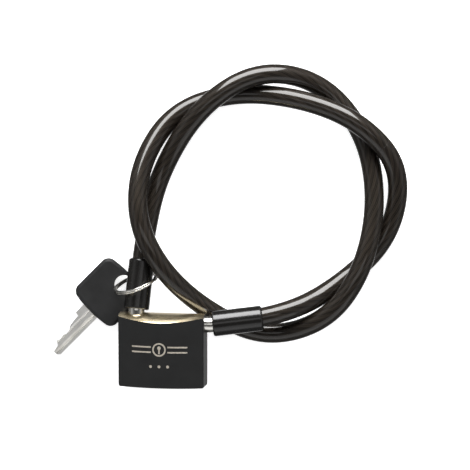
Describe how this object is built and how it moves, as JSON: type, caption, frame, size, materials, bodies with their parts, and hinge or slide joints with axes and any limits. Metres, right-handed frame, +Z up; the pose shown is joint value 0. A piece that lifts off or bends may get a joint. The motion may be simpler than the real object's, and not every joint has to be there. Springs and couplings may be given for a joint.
{
  "type": "cable luggage lock",
  "caption": "Keyed luggage lock: a small block with a coated cable coiled in a loop, one end fixed and one end that pulls out, with a key on a split ring round the fixed end.",
  "frame": {"origin": "centre of the base of the bounding box of the lock, key and ring, on the surface that they lie on", "axes": "+Z up from the surface, +X along the lock's width, +Y towards the lock's domed top and the cable loop"},
  "size_m": [0.1231, 0.1122, 0.0179],
  "materials": {
    "body_coating": "matte black coating over brass, bare brass on the domed top",
    "brass": "machined",
    "steel": "hardened, fine machining marks",
    "nickel": "bright nickel plate",
    "sleeve": "glossy black moulding",
    "jacket": "smoky clear plastic, glossy",
    "rope": "twisted steel wires",
    "key_plastic": "satin black moulding",
    "nickel_silver": "stamped and milled nickel silver"
  },
  "bodies": {
    "lock": {"lock_body": "body_coating", "plug_pin": "steel", "ferrule_pin": "steel", "fixed_ferrule": "nickel", "fixed_sleeve": "sleeve", "bolt_spring": "steel", "cable_core": "rope", "cable_jacket": "jacket", "driver_pin_1": "steel", "driver_pin_2": "steel", "driver_pin_3": "steel", "pin_spring_1": "steel", "pin_spring_2": "steel", "pin_spring_3": "steel", "chamber_cap_1": "brass", "chamber_cap_2": "brass", "chamber_cap_3": "brass"},
    "plug": {"cylinder_plug": "brass", "key_pin_1": "brass", "key_pin_2": "brass", "key_pin_3": "brass"},
    "bolt": {"locking_bolt": "steel"},
    "cable_end": {"end_stud": "nickel", "end_sleeve": "sleeve"},
    "ring": {"key_ring": "nickel"},
    "key": {"key_head": "key_plastic", "key_blade": "nickel_silver"}
  },
  "joints": [
    {"name": "plug_turn", "type": "hinge", "parent": "lock", "child": "plug", "pos_m": [0.01135, -0.0216, 0.0072], "axis": [0, 0.992, 0.1262], "range_deg": [0, 90]},
    {"name": "bolt_slide", "type": "slide", "parent": "lock", "child": "bolt", "axis": [0, 0.992, 0.1262], "range_m": [0, 0.001], "deforming": ["bolt_spring"]},
    {"name": "end_pull", "type": "slide", "parent": "lock", "child": "cable_end", "axis": [0.9848, -0.0219, 0.1723], "range_m": [0, 0.018], "deforming": ["cable_core", "cable_jacket"]},
    {"name": "ring_swing", "type": "hinge", "parent": "lock", "child": "ring", "pos_m": [0.0022, 0.0049, 0.00895], "axis": [0.1083, 0.9909, -0.0796], "range_deg": [0, 60]},
    {"name": "key_swing", "type": "hinge", "parent": "ring", "child": "key", "pos_m": [-0.00121, 0.01498, 0.00116], "axis": [0.8466, 0.4198, -0.3271], "range_deg": [0, 25]}
  ],
  "couplings": [
    {"joint": "bolt_slide", "follows": "plug_turn", "m_per_rad": 0.000636}
  ]
}
